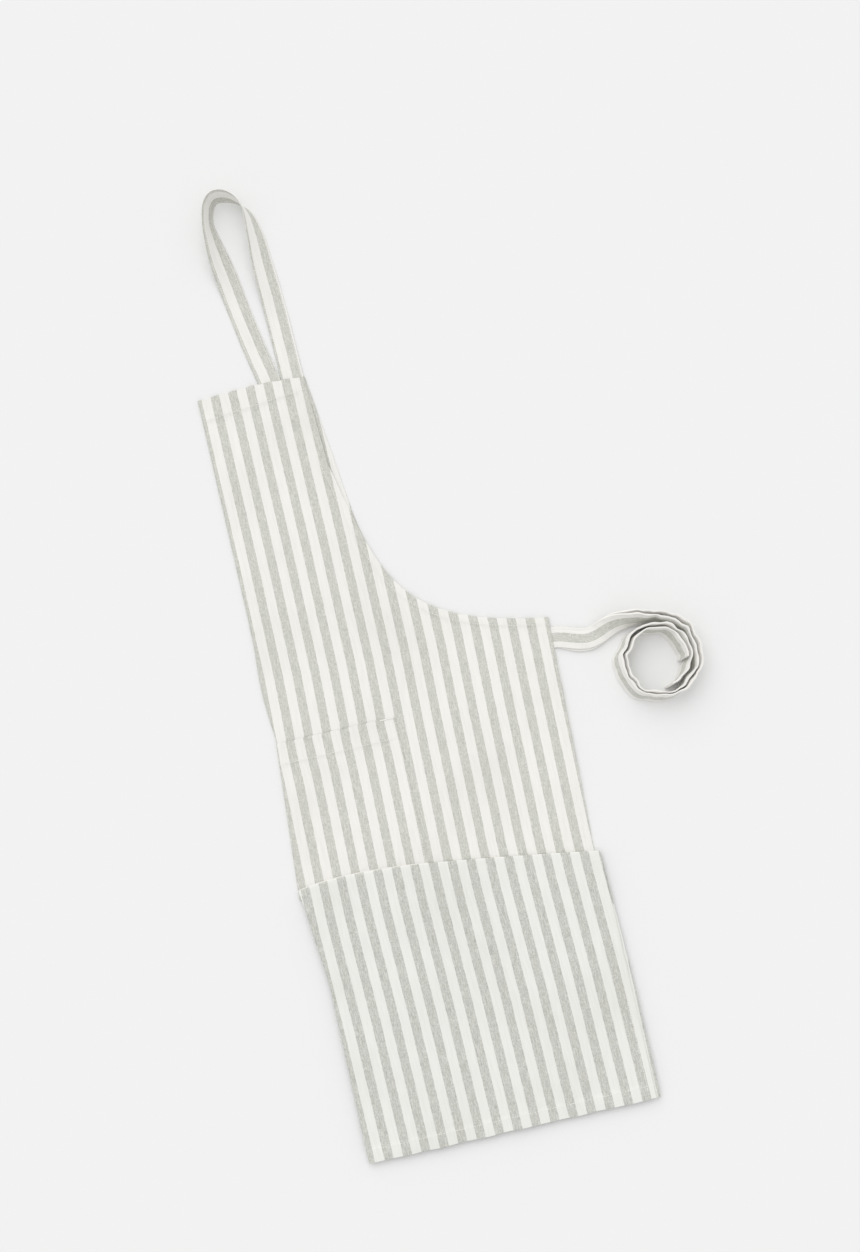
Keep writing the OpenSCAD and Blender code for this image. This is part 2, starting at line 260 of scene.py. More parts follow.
class Cloth:
    # gathers the points, flat places, thickness shares and faces of one piece of cloth
    def __init__(self):
        self.points, self.flat, self.thick, self.faces = [], [], [], []

    def add(self, points, flat, thick, faces):
        start = len(self.points)
        self.points += [tuple(p) for p in np.array(points, float)]
        self.flat += [tuple(p) for p in np.array(flat, float)]
        self.thick += list(np.broadcast_to(thick, len(points)))
        self.faces += [tuple(start + k for k in face) for face in faces]

    def grid(self, rows, flatRows, thick=0.0):
        count = len(rows[0])
        faces = [(i * count + j, i * count + j + 1, (i + 1) * count + j + 1, (i + 1) * count + j)
                 for i in range(len(rows) - 1) for j in range(count - 1)]
        self.add(np.concatenate(rows), np.concatenate(flatRows), thick, faces)

    def leaf(self, runs, creases, height, weight, flat):
        # one flat layer, filled with triangles inside its outline and along its creases
        outline = np.concatenate([r[:-1] for r in runs])
        lines, edges = [outline], [(k, (k + 1) % len(outline)) for k in range(len(outline))]
        total = len(outline)
        for line in creases:
            inner = resampled(line, step)
            edges += [(total + k, total + k + 1) for k in range(len(inner) - 1)]
            lines.append(inner)
            total += len(inner)
        known = np.concatenate(lines)
        low, high = known.min(0), known.max(0)
        xs, ys = np.arange(low[0], high[0], step), np.arange(low[1], high[1], step * 0.87)
        fill = np.array([(x + step / 2 * (k % 2), y) for k, y in enumerate(ys) for x in xs])
        closed = np.concatenate([outline, outline[:1]])
        fill = fill[distanceTo(fill, closed) > step * 0.5]
        for line in creases:
            fill = fill[distanceTo(fill, line) > step * 0.45]
        places = [Vector(p) for p in np.concatenate([known, fill])]
        found, _, faces, *_ = delaunay_2d_cdt(places, edges, [], 1, 1e-5)
        flatPoints = np.array([tuple(p) for p in found])
        z = height(flatPoints)
        self.add(np.column_stack([flatPoints, z]), flat(flatPoints), weight(flatPoints), faces)

    def build(self, name, thickness, share, material):
        # thickness is that of a hem, and single cloth has the given share of it
        piece = newPiece(name, self.points, self.faces)
        corners = np.zeros(len(piece.data.loops), int)
        piece.data.loops.foreach_get("vertex_index", corners)
        storeFlat(piece, np.array(self.flat)[corners])
        group = piece.vertex_groups.new(name="hem")
        thick = np.array(self.thick)
        for level in np.unique(np.round(thick, 2)):
            group.add(np.flatnonzero(np.round(thick, 2) == level).tolist(), float(level), "REPLACE")
        selectOnly(piece)
        bpy.ops.object.mode_set(mode="EDIT")
        bpy.ops.mesh.select_all(action="SELECT")
        bpy.ops.mesh.remove_doubles(threshold=2e-6)
        bpy.ops.mesh.normals_make_consistent(inside=False)
        bpy.ops.object.mode_set(mode="OBJECT")
        solid = piece.modifiers.new("thickness", "SOLIDIFY")
        solid.thickness, solid.offset = thickness * mm, 0
        solid.vertex_group, solid.thickness_vertex_group = "hem", share
        bpy.ops.object.modifier_apply(modifier="thickness")
        finishMesh(piece, material)
        return piece


def selectOnly(piece):
    bpy.ops.object.select_all(action="DESELECT")
    piece.select_set(True)
    bpy.context.view_layer.objects.active = piece


def finishMesh(piece, material, angle=50):
    selectOnly(piece)
    bpy.ops.object.mode_set(mode="EDIT")
    bpy.ops.mesh.select_all(action="SELECT")
    bpy.ops.mesh.normals_make_consistent(inside=False)
    bpy.ops.object.mode_set(mode="OBJECT")
    bpy.ops.object.shade_smooth_by_angle(angle=math.radians(angle))
    piece.data.materials.clear()
    piece.data.materials.append(material)


# Shader maths: one class wraps a socket, and its operators add Math nodes
class Value:
    def __init__(self, nodes, socket):
        self.nodes, self.socket = nodes, socket

    def maths(self, operation, *others):
        return self.nodes.node("ShaderNodeMath", {"operation": operation}, [self, *others])

    def __add__(self, other):
        return self.maths("ADD", other)

    def __sub__(self, other):
        return self.maths("SUBTRACT", other)

    def __mul__(self, other):
        return self.maths("MULTIPLY", other)

    def __truediv__(self, other):
        return self.maths("DIVIDE", other)

    def __rsub__(self, other):
        return self.nodes.node("ShaderNodeMath", {"operation": "SUBTRACT"}, [other, self])

    __radd__, __rmul__ = __add__, __mul__

    def between(self, low, high):
        # 0 at low and 1 at high, smoothly
        smooth = {"interpolation_type": "SMOOTHSTEP"}
        return self.nodes.node("ShaderNodeMapRange", smooth, [self, low, high, 0, 1])


class Nodes:
    def __init__(self, name):
        self.material = bpy.data.materials.new(name)
        self.material.use_nodes = True
        self.tree = self.material.node_tree
        self.shader = self.tree.nodes["Principled BSDF"]

    def node(self, kind, settings, inputs, output=0):
        made = self.tree.nodes.new(kind)
        for key, value in settings.items():
            setattr(made, key, value)
        named = inputs.items() if isinstance(inputs, dict) else enumerate(inputs)
        for key, value in named:
            self.feed(made.inputs[key], value)
        return Value(self, made.outputs[output])

    def feed(self, socket, value):
        if isinstance(value, Value):
            self.tree.links.new(value.socket, socket)
        else:
            socket.default_value = value

    def blend(self, factor, first, second):
        return self.node("ShaderNodeMix", {"data_type": "RGBA"}, {0: factor, 6: first, 7: second}, 2)

    def noise(self, place, scale, detail, rough=0.5):
        inputs = {"Vector": place, "Scale": scale, "Detail": detail, "Roughness": rough}
        return self.node("ShaderNodeTexNoise", {}, inputs)

    def stretched(self, place, x, y):
        return self.node("ShaderNodeVectorMath", {"operation": "MULTIPLY"}, [place, (x, y, 1)])

    def bump(self, height, strength, depth):
        inputs = {"Strength": strength, "Distance": depth, "Height": height}
        self.feed(self.shader.inputs["Normal"], self.node("ShaderNodeBump", {}, inputs))


cottonLook = {
    "white": (0.895, 0.88, 0.842, 1), "grey": (0.73, 0.73, 0.68, 1), "deepGrey": (0.505, 0.51, 0.462, 1),
    "slubShade": 0.95,  # of the white, where its yarn is thick
    "handled": (0.36, 0.35, 0.31, 1), "handling": 0.10,
    "edge": 0.012, "wobble": 0.05,  # of a stripe, as shares of the pitch
    "yarn": 1700, "weave": 620, "bump": 0.25, "depth": 0.0003,
    "rough": (0.86, 0.1), "specular": 0.2, "sheen": 0.12, "sheenRough": 0.5,
}
# The lower skirt's cloth is the same cotton with every tone darker: painted shade, for the skirt catching
# less light than the upper panel.
lowerShadedLook = {**cottonLook, "white": (0.845, 0.847, 0.808, 1), "grey": (0.705, 0.708, 0.66, 1),
             "deepGrey": (0.448, 0.454, 0.412, 1)}
threadLook = {"dull": (0.88, 0.865, 0.825, 1), "bright": (0.93, 0.92, 0.885, 1), "fibre": 3000,
              "bump": 0.4, "depth": 0.0001, "rough": 0.6}


def stripedCloth(name, look):
    # yarn-dyed stripes with melange greys, on the cut cloth's own coordinates
    n = Nodes(name)
    place = n.node("ShaderNodeUVMap", {"uv_map": "flat"}, [])
    u = n.node("ShaderNodeSeparateXYZ", {}, [place], 0)
    v = n.node("ShaderNodeSeparateXYZ", {}, [place], 1)
    wobble = (n.noise(n.stretched(place, 900, 160), 1, 2) - 0.5) * look["wobble"]
    phase = ((u / (stripes["pitch"] * mm) + 0.5 + wobble).maths("FRACT") - 0.5).maths("ABSOLUTE")
    half = stripes["grey"] / stripes["pitch"] / 2
    grey = 1 - phase.between(half - look["edge"], half + look["edge"])
    warp = n.noise(n.stretched(place, look["yarn"], 70), 1, 3, 0.6)
    weft = n.noise(n.stretched(place, 90, look["yarn"]), 1, 3, 0.6)
    fleck = n.noise(n.stretched(place, 900, 260), 1, 3, 0.7)
    slub = n.noise(n.stretched(place, 500, 30), 1, 2)
    cloud = n.noise(place, 9, 3)
    melange = (warp * 0.4 + weft * 0.25 + fleck * 0.35).between(0.41, 0.59)
    greyTone = n.blend(melange, look["deepGrey"], look["grey"])
    slubTone = tuple(look["slubShade"] * c for c in look["white"][:3]) + (1,)
    whiteTone = n.blend(slub.between(0.3, 0.75), look["white"], slubTone)
    tone = n.blend(grey, whiteTone, greyTone)
    tone = n.blend(cloud.between(0.35, 0.8) * look["handling"], tone, look["handled"])
    n.feed(n.shader.inputs["Base Color"], tone)
    crossings = 4 * math.pi * look["weave"]
    weave = (u * crossings).maths("SINE") * (v * crossings).maths("SINE") * 0.35 + warp * 0.8 + weft * 0.5
    n.bump(weave, look["bump"], look["depth"])
    n.feed(n.shader.inputs["Roughness"], look["rough"][0] + look["rough"][1] * warp)
    n.shader.inputs["Specular IOR Level"].default_value = look["specular"]
    n.shader.inputs["Sheen Weight"].default_value = look["sheen"]
    n.shader.inputs["Sheen Roughness"].default_value = look["sheenRough"]
    return n.material


def sewingThread(name, look):
    n = Nodes(name)
    place = n.node("ShaderNodeTexCoord", {}, [], 3)
    fibre = n.noise(place, look["fibre"], 3)
    n.feed(n.shader.inputs["Base Color"], n.blend(fibre.between(0.3, 0.7), look["dull"], look["bright"]))
    n.bump(fibre, look["bump"], look["depth"])
    n.shader.inputs["Roughness"].default_value = look["rough"]
    return n.material


cotton = stripedCloth("striped cotton", cottonLook)
# the darker lower-skirt copy of the cotton is painted shade
lowerShadedCotton = stripedCloth("striped cotton in painted shade, lower skirt", lowerShadedLook)
tapeCotton = stripedCloth("striped tape", cottonLook)
thread = sewingThread("sewing thread", threadLook)
print("materials made")

# Unevenness of pressed cloth and puckers along its seams: heights, and the sizes that they repeat at
upperWaves = {"long": (1.1, 85, 3.1), "short": (0.35, 23, 8.2), "lengthwise": (0.25, 11, 5.7), "most": 2.6}
lowerWaves = {"long": (1.0, 90, 6.3), "short": (0.35, 24, 2.9), "lengthwise": (0.25, 11, 9.7), "most": 2.4}
topPuckers = {"line": (24, 15), "height": 0.35, "size": 14, "reach": 12, "limits": (-0.2, 0.6)}
bottomPuckers = {"line": (12, 12), "height": 0.6, "size": 15, "reach": 10, "limits": (0, 0.6)}
hemStep = 0.7  # half the width over which a hem's inner edge steps down
rimCrease = 1.2  # from an edge to where its rounding ends
hemRise = (layers["hem"] - layers["ply"]) / 2


def softWaves(points, look):
    # only ever upwards, so that the layers stay apart
    high, size, seed = look["long"]
    waves = high * (0.5 + 0.9 * ripple(points, size, seed))
    high, size, seed = look["short"]
    waves = waves + high * ripple(points, size, seed)
    high, size, seed = look["lengthwise"]
    return (waves + high * ripple(points * (1, 0.25), size, seed)).clip(0, look["most"])


def puckers(points, line, look):
    # small waves that a seam draws along an edge
    waves = look["height"] * ripple(points, look["size"], 1.7)
    return (waves * np.exp(-distanceTo(points, line) / look["reach"])).clip(*look["limits"])


def onHem(distance, width):
    # 1 on the doubled cloth of a hem and 0 past it
    return smoothStep(width + hemStep, width - hemStep, distance)


def rounded(distance, reach, loss=0.45):
    # thins the cloth towards its edge
    return 1 - loss * smoothStep(reach, 0, distance)


# Upper apron: front and rear leaf joined at the centre fold
foldRadius = 0.9


def upperWave(points):
    return smoothStep(*pleat["wavesFrom"], points[:, 1]) * softWaves(points, upperWaves)


def armEdge(slip):
    # from the bib's corner down the armhole
    return np.concatenate([[(apron["bibWidth"], bibTop)], armhole(slip)])


def upperRuns(slip, inset):
    top = resampled([(inset, bibTop), (apron["bibWidth"] + slip * 0.15, bibTop)], 2.5)
    dip = apron["scallop"] * (0.5 - 0.5 * np.cos(2 * math.pi * top[:, 0] / apron["scallopPitch"]))
    share = (top[:, 0] / apron["bibWidth"]).clip(0, 1)
    top[:, 1] += apron["topBow"] * np.sin(math.pi * share ** 1.3) - dip - 0.5 * ripple(top, 13, 2.2)
    arm = np.concatenate([[top[-1]], armhole(slip)])
    side = resampled([(waistWidth, 0), valleySide], step)
    uneven(side, 0, 0.5, 17, 4.4)
    valley = valleyLine[::-1].copy()
    valley[-1] += (inset, 0)
    fold = resampled([valleyFold, (0, pocketTop), (0, top[0][1])], step)
    fold[:, 0] = np.where(fold[:, 1] > pocketTop, foldAt(fold[:, 1]), fold[:, 0]) + inset
    return [top, resampled(arm, 4), side, valley, fold]


def topHemLine(x):
    return bibTop - apron["topHem"] + (apron["topHem"] - apron["topHemEnd"]) * x / apron["bibWidth"]


def upperHems(points, slip):
    fromSide = distanceTo(points, [(waistWidth, 0), valleySide])
    fromEdge = np.minimum(distanceTo(points, armEdge(slip)), fromSide)
    fromTopHem = points[:, 1] - topHemLine(points[:, 0])
    return np.maximum(onHem(fromEdge, apron["edgeHem"]), smoothStep(-hemStep, hemStep, fromTopHem))


def upperThickness(points, slip):
    outer = np.concatenate([armEdge(slip), [valleySide]])
    return upperHems(points, slip) * rounded(distanceTo(points, outer), 1.0)


def upperCreases(slip):
    arm = resampled(armEdge(slip), 4)
    side = resampled([(waistWidth, 0), valleySide], 5)
    lines = []
    for d in (rimCrease, apron["edgeHem"] - hemStep, apron["edgeHem"] + hemStep):
        lines.append(beside(arm, d)[5:-2])
        lines.append(beside(side, d)[1:-1])
    for d in (-hemStep, hemStep):
        xs = np.linspace(2.5, apron["bibWidth"] - 12, 24)
        lines.append(np.stack([xs, topHemLine(xs) + d], 1))
    return lines


def upperFrontHeight(points):
    lift = hemRise * upperHems(points, 0) * smoothStep(*pleat["hemsFrom"], points[:, 1])
    left, right = topPuckers["line"]
    seam = [(0, bibTop - left), (apron["bibWidth"], bibTop - right)]
    return layers["upperFront"] + upperWave(points) + lift + puckers(points, seam, topPuckers)


def closeFold(cloth, edge, radius, frontHeight, rearHeight, flatOf, arcs=5):
    # the rolled centre fold between a front and a rear leaf
    inner = edge + (radius, 0)
    front, rear = frontHeight(inner), rearHeight(inner)
    middle, half = (front + rear) / 2, (front - rear) / 2
    rows, flats = [], []
    flatFront, flatRear = flatOf(inner, False), flatOf(inner, True)
    for k in range(arcs + 1):
        turn = math.pi * k / arcs
        out = radius * math.sin(turn)
        rows.append(np.column_stack([inner[:, 0] - out, inner[:, 1], middle + half * math.cos(turn)]))
        flats.append(flatFront + (flatRear - flatFront) * k / arcs)
    cloth.grid(rows, flats)


def upperRearHeight(points):
    return np.full(len(points), layers["upperRear"])


upper = Cloth()
for height, slip, rear in ((upperFrontHeight, 0, False), (upperRearHeight, apron["rearSlip"], True)):
    upper.leaf(upperRuns(slip, foldRadius), upperCreases(slip), height,
               lambda p: upperThickness(p, slip), lambda p: flatUpper(p, rear))
closeFold(upper, upperRuns(0, 0)[4], foldRadius, upperFrontHeight, upperRearHeight, flatUpper)
upperPanel = upper.build("upperPanel", layers["hem"], layers["ply"] / layers["hem"], cotton)
print("upper panel made")


# Pleat: both leaves turn over at the valley and run up to the crest
def acrossFold(line, radius):
    # front leaf from the side to the fold, round the fold, and the rear leaf back to the side
    inner = line.copy()
    inner[0] = inner[0] + (radius, 0)
    turns = [math.pi * k / 5 for k in range(1, 5)]
    arc = [inner[0] - (radius * math.sin(t), 0) for t in turns]
    share = [0] * len(line) + [(1 - math.cos(t)) / 2 for t in turns] + [1] * len(line)
    places = np.concatenate([inner[::-1], arc, inner])
    return places, np.array(share)


def turnRow(line, normal, share, lows, highs, degrees):
    # one row of a rolled turn between two heights: lows and highs give those of the front and rear
    angle = math.radians(degrees)
    low, high = mixed(lows, share), mixed(highs, share)
    half = (high - low) / 2
    out = line + normal * (half * math.cos(angle))[:, None]
    return np.column_stack([out, (low + high) / 2 + half * math.sin(angle)])


def spreadFlat(flatOf, places, share):
    return mixed((flatOf(places, False), flatOf(places, True)), share[:, None])


uphill = -downhill
pleatCloth = Cloth()
pleatRadius = 0.4
valleyPlaces, valleyShare = acrossFold(valleyLine, pleatRadius)
crestOuter = (layers["lowerFront"] - layers["pleatFront"]) / 2
crestInner = crestLine + downhill * crestOuter
crestPlaces, crestShare = acrossFold(crestInner, pleatRadius)
upperHeights = (layers["upperFront"], layers["upperRear"])
pleatHeights = (layers["pleatFront"], layers["pleatRear"])
lowerHeights = (layers["lowerFront"], layers["lowerRear"])
rows, flats = [], []
for angle in (-90, -65, -42, -20, 20, 42, 65, 90):
    rows.append(turnRow(valleyPlaces, downhill, valleyShare, upperHeights, pleatHeights, angle))
    flats.append(spreadFlat(flatPleat, valleyPlaces, valleyShare))
for share in (0.25, 0.5, 0.75, 1):
    places = mixed((valleyPlaces, crestPlaces), share)
    rows.append(np.column_stack([places, mixed(pleatHeights, valleyShare)]))
    flats.append(spreadFlat(flatPleat, places, valleyShare))
pleatCloth.grid(rows, flats)
pleatPanel = pleatCloth.build("pleatPanel", layers["ply"], 1, cotton)
print("pleat made")


# Lower skirt: over the crest and down to the bottom hem
def crestDistance(points):
    return np.interp(points[:, 0], crestInner[:, 0], crestInner[:, 1]) - points[:, 1]


def lowerHems(points, slip):
    onSide = onHem(distanceTo(points, lowerSide(slip)), apron["edgeHem"])
    onBottom = onHem(points[:, 1] - hemY, apron["bottomHem"])
    return np.maximum(onSide, onBottom) * smoothStep(0, 12, crestDistance(points))


def lowerThickness(points, slip):
    rim = np.minimum(distanceTo(points, lowerSide(slip)), points[:, 1] - hemY)
    return lowerHems(points, slip) * rounded(rim, 1.4)


def lowerFrontHeight(points):
    lift = hemRise * lowerHems(points, 0)
    waves = smoothStep(2, 45, crestDistance(points)) * softWaves(points, lowerWaves)
    left, right = bottomPuckers["line"]
    seam = [(0, hemY + left), (lowerWidth, hemY + right)]
    return layers["lowerFront"] + waves + lift + puckers(points, seam, bottomPuckers)


def lowerRearHeight(points):
    return np.full(len(points), layers["lowerRear"])


def lowerRuns(slip, inset):
    top = crestInner[::-1].copy()
    top[-1] += (inset, 0)
    side = resampled(np.concatenate([[top[0]], lowerSide(slip)[2:]]), 4)
    uneven(side, 0, 0.6, 19, 1.1)
    bottom = resampled([(lowerWidth + slip, hemY), (-apron["hemOut"] + inset, hemY)], 4)
    uneven(bottom, 1, 1.1, 26, 3.3)
    fold = lowerFold[::-1].copy() + (inset, 0)
    fold[-1] = top[-1]
    return [side, bottom, fold, top[::-1]]


def lowerCreases(slip):
    side = resampled(lowerSide(slip), 4)
    lines = []
    for d in (rimCrease, apron["edgeHem"] - hemStep, apron["edgeHem"] + hemStep):
        lines.append(beside(side, d)[3:-1])
    for d in (1.5, apron["bottomHem"] - hemStep, apron["bottomHem"] + hemStep):
        lines.append([(2, hemY + d), (lowerWidth - 13, hemY + d)])
    return lines


lower = Cloth()
rows, flats = [], []
for angle in (-90, -65, -45, -26, 26, 45, 65, 90):
    rows.append(turnRow(crestPlaces, uphill, crestShare, pleatHeights, lowerHeights, angle))
    below, above = (spreadFlat(f, crestPlaces, crestShare) for f in (flatPleat, flatLower))
    flats.append(below if angle < 0 else above)
lower.grid(rows, flats)
for height, slip, rear in ((lowerFrontHeight, 0, False), (lowerRearHeight, apron["hemSlip"], True)):
    lower.leaf(lowerRuns(slip, pleatRadius), lowerCreases(slip), height,
               lambda p: lowerThickness(p, slip), lambda p: flatLower(p, rear))
closeFold(lower, lowerRuns(0, 0)[2], pleatRadius, lowerFrontHeight, lowerRearHeight, flatLower)
# the lower skirt wears the darker copy of the cotton, which is painted shade
lowerPanel = lower.build("lowerPanel", layers["hem"], layers["ply"] / layers["hem"], lowerShadedCotton)
print("lower skirt made")

# Pocket: one patch folded with the apron, and its own turn at the valley up to the crest
pocket = {"foldOut": 0.8, "radius": 1.3, "hem": 27, "turnIn": 8, "gape": 0.9, "lip": 1.1, "columns": 30,
          "thick": 0.9, "seam": 3, "shift": 1.9, "whiteFrom": 0.92}


def lineUpTo(line, x):
    # the first part of a line that runs along x, up to x
    share = np.interp(x, line[:, 0], np.arange(len(line)))
    at = np.linspace(0, share, pocket["columns"] + 1)
    return np.stack([np.interp(at, np.arange(len(line)), line[:, k]) for k in (0, 1)], 1)


pocketValley = lineUpTo(valleyLine, pocketWidth)
pocketCrest = lineUpTo(crestLine, pocketWidth)
pocketOut = np.array([-pocket["foldOut"], 0])
pocketInset = np.array([pocket["radius"], 0]) + pocketOut


def pocketRuns():
    top = resampled([(pocketInset[0], pocketTop), (pocketWidth, pocketTop)], 3)
    uneven(top, 1, 0.6, 15, 6.6)
    side = resampled([(pocketWidth, pocketTop), pocketValley[-1]], 4)
    uneven(side, 0, 0.5, 16, 7.2)
    valley = pocketValley[::-1].copy()
    valley[-1] += pocketInset
    fold = resampled([pocketValley[0], (0, pocketTop)], step) + pocketInset
    return [top, side, valley, fold]


def pocketHems(points):
    down, inward = pocketTop - points[:, 1], pocketWidth - points[:, 0]
    hems = np.maximum(onHem(down, pocket["hem"]), onHem(inward, pocket["turnIn"]))
    return hems * rounded(np.minimum(down, inward), 1.2, 0.4)


def pocketCreases():
    foot = pocketValley[-1][1] + 3
    downs = (rimCrease, pocket["hem"] - hemStep, pocket["hem"] + hemStep)
    inwards = (rimCrease, pocket["turnIn"] - hemStep, pocket["turnIn"] + hemStep)
    return ([[(3, pocketTop - d), (pocketWidth - 2, pocketTop - d)] for d in downs]
            + [[(pocketWidth - d, pocketTop - 3), (pocketWidth - d, foot)] for d in inwards])


def pocketFrontHeight(points):
    # the mouth stands off a little between the fold and the corner
    x, down = points[:, 0], pocketTop - points[:, 1]
    gape = pocket["gape"] * np.exp(-down / 7) * smoothStep(0, 25, pocketWidth - x) * smoothStep(-2, 15, x)
    lift = (pocket["thick"] - layers["ply"]) / 2 * pocketHems(points)
    freed = smoothStep(*pleat["hemsFrom"], points[:, 1])
    return layers["pocketFront"] + upperWave(points) + (lift + gape) * freed


def pocketRearHeight(points):
    return np.full(len(points), layers["pocketRear"])


def flatPocket(points):
    # the pocket's stripes sit a little beside the apron's at its mouth
    shift = pocket["shift"] * (0.75 + 0.5 * ripple(points, 40, 12.5))
    shift = shift * smoothStep(-60, 0, points[:, 1] - pocketTop)
    return flatUpper(points + np.stack([shift, 0 * shift], 1), False)


pocketCloth = Cloth()
pocketCloth.leaf(pocketRuns(), pocketCreases(), pocketFrontHeight, pocketHems, flatPocket)
pocketCloth.leaf(pocketRuns(), [], pocketRearHeight, lambda p: 0 * p[:, 0], lambda p: flatUpper(p, True))
closeFold(pocketCloth, pocketRuns()[3] - (pocket["radius"], 0), pocket["radius"], pocketFrontHeight,
          pocketRearHeight, flatUpper)
patchPocket = pocketCloth.build("patchPocket", pocket["thick"], layers["ply"] / pocket["thick"], cotton)

pocketTurn = Cloth()
pocketPlaces, pocketShare = acrossFold(pocketValley + pocketOut, pocket["radius"])
lipPlaces, _ = acrossFold(pocketCrest + pocketOut + uphill * pocket["lip"], pocket["radius"])
pocketHeights = (layers["pocketFront"], layers["pocketRear"])
turnedHeights = (layers["pleatPocketFront"], layers["pleatPocketRear"])
rows, flats = [], []
for angle in (-90, -60, -30, 30, 60, 90):
    rows.append(turnRow(pocketPlaces, downhill, pocketShare, pocketHeights, turnedHeights, angle))
    flats.append(spreadFlat(flatPleat, pocketPlaces, pocketShare))
for share in (0.3, 0.6, 0.9, 0.93, 1):
    places = mixed((pocketPlaces, lipPlaces), share)
    rows.append(np.column_stack([places, mixed(turnedHeights, pocketShare)]))
    flat = spreadFlat(flatPleat, places, pocketShare)
    if share > pocket["whiteFrom"]:  # the lip shows the white between two stripes
        flat[:, 0] = stripes["pitch"] / 2
    flats.append(flat)
pocketTurn.grid(rows, flats)
pocketPleat = pocketTurn.build("pocketPleat", layers["ply"], 1, cotton)
print("pocket made")

# Neck strap and waist ties: folded tape swept along a route of place, height and roll
tapeShape = {"thick": 1.0, "sewnThick": 0.45, "low": 0.15}
acrossShares = (-1, -0.975, -0.9, -0.8, -0.72, -0.4, 0, 0.4, 0.72, 0.8, 0.9, 0.975, 1)
acrossThick = (0.5, 1.0, 1.15, 0.75, 1, 1, 1, 1, 1, 0.75, 1.15, 1.0, 0.5)


def smoothRoute(route, count):
    # a curve through every point of the route
    route = np.array(route, float)
    padded = np.concatenate([route[:1], route, route[-1:]])
    out = []
    for k in range(1, len(padded) - 2):
        a, b, c, d = padded[k - 1:k + 3]
        for t in np.arange(count) / count:
            out.append(0.5 * (2 * b + t * (c - a) + t * t * (2 * a - 5 * b + 4 * c - d)
                              + t ** 3 * (3 * b - a - 3 * c + d)))
    return np.array(out + [route[-1]])


def tapeFrames(route):
    places = route[:, :3]
    run = np.gradient(places, axis=0)
    run /= np.linalg.norm(run, axis=1)[:, None]
    level = np.stack([-run[:, 1], run[:, 0], 0 * run[:, 0]], 1)
    level /= np.linalg.norm(level, axis=1)[:, None]
    roll = np.radians(route[:, 3])[:, None]
    wide = level * np.cos(roll) + np.cross(run, level) * np.sin(roll)
    return places, wide, np.cross(run, wide)


def sweptTape(name, route, width, thick, bands, lean=None):
    # bands gives where the stripes lie on the two faces, from the tape's left edge
    places, wide, deep = tapeFrames(route)
    along = lengthsAlong(places)
    count = len(acrossShares)
    points = np.array([place + wide[k] * share * width / 2 + deep[k] * face * thick[k] * part / 2
                       for k, place in enumerate(places) for face in (1, -1)
                       for share, part in zip(acrossShares[::face], acrossThick)])
    faces, corners = [], []
    ring = 2 * count
    edgeU = {count - 1: bands["leftEdge"], ring - 1: bands["rightEdge"]}
    for k in range(len(places) - 1):
        for j in range(ring):
            following = (j + 1) % ring
            square = ((j, k), (following, k), (following, k + 1), (j, k + 1))
            faces.append(tuple(row * ring + m for m, row in square))
            for m, row in square:
                share, (start, direction) = ((acrossShares[m], bands["front"]) if m < count
                                             else (acrossShares[::-1][m - count], bands["back"]))
                u = start + direction * (1 - share) * width / 2
                corners.append((edgeU.get(j, u), along[row]))
    for row in (0, len(places) - 1):
        for j in range(count - 1):
            faces.append(tuple(row * ring + m for m in (j, j + 1, ring - 2 - j, ring - 1 - j)))
            corners += [(bands["rightEdge"], along[row])] * 4
    if lean is not None:
        points = lean(points, np.repeat(route[:, 3], ring))
    piece = newPiece(name, points, faces)
    storeFlat(piece, corners)
    finishMesh(piece, tapeCotton, 40)
    return piece, along[-1], points.reshape(len(places), ring, 3)


def raised(route, width, thick):
    # lifts a tape's lower edge to the height that its route gives
    roll = np.radians(route[:, 3])
    out = route.copy()
    out[:, 2] += (width * np.sin(roll) + thick * np.abs(np.cos(roll))) / 2
    return out


strap = {
    "width": 27, "pitch": 28, "sewn": 23, "loop": 231, "straight": 3, "settle": 0.2, "sewnHeight": 0.65,
    # place in from the corner, share of the loop's length, roll
    "turns": [(51, 0.23, 0), (58, 0.42, 0), (62.5, 0.56, 6), (66.5, 0.68, 25), (69.5, 0.79, 48),
              (70, 0.88, 62), (65.5, 0.96, 62), (57, 1, 60), (46, 1, 62), (35, 0.975, 74),
              (26, 0.93, 92), (20.5, 0.87, 115), (18, 0.76, 137), (17.5, 0.62, 155), (16, 0.47, 170),
              (14.8, 0.3, 178)],
    "waves": (0.35, 30, 2.8),
    # where each face's stripes start, which way they count, and the stripe that the edges show
    "bands": {"front": (1.2, 1), "back": (-2.5, -1), "leftEdge": 11.1, "rightEdge": 11.1},
}
strapLast = apron["bibWidth"] - strap["width"] / 2
strapFirst = strapLast - strap["pitch"]
sewnRun = (bibTop - strap["sewn"], bibTop - 8, bibTop + strap["straight"])  # heights of each sewn end
sewnHeight = strap["sewnHeight"]
points = [(strapFirst, y, sewnHeight, 0) for y in sewnRun]
for inward, share, roll in strap["turns"]:
    low = tapeShape["low"] + (sewnHeight - tapeShape["low"]) * max(0, 1 - share / strap["settle"])
    points.append((apron["bibWidth"] - inward, bibTop + share * strap["loop"], low, roll))
points += [(strapLast, y, sewnHeight, 180) for y in sewnRun[::-1]]
strapRoute = raised(smoothRoute(points, 7), strap["width"], tapeShape["thick"])
high, size, seed = strap["waves"]
fade = smoothStep(bibTop, bibTop + 25, strapRoute[:, 1])
strapRoute[:, 2] += high * (0.6 + ripple(strapRoute, size, seed)) * fade
pastSeam = smoothStep(bibTop, bibTop + 10, strapRoute[:, 1])
strapThick = mixed((tapeShape["sewnThick"], tapeShape["thick"]), pastSeam)
neckStrap, strapLength, strapRings = sweptTape("neckStrap", strapRoute, strap["width"], strapThick,
                                               strap["bands"])

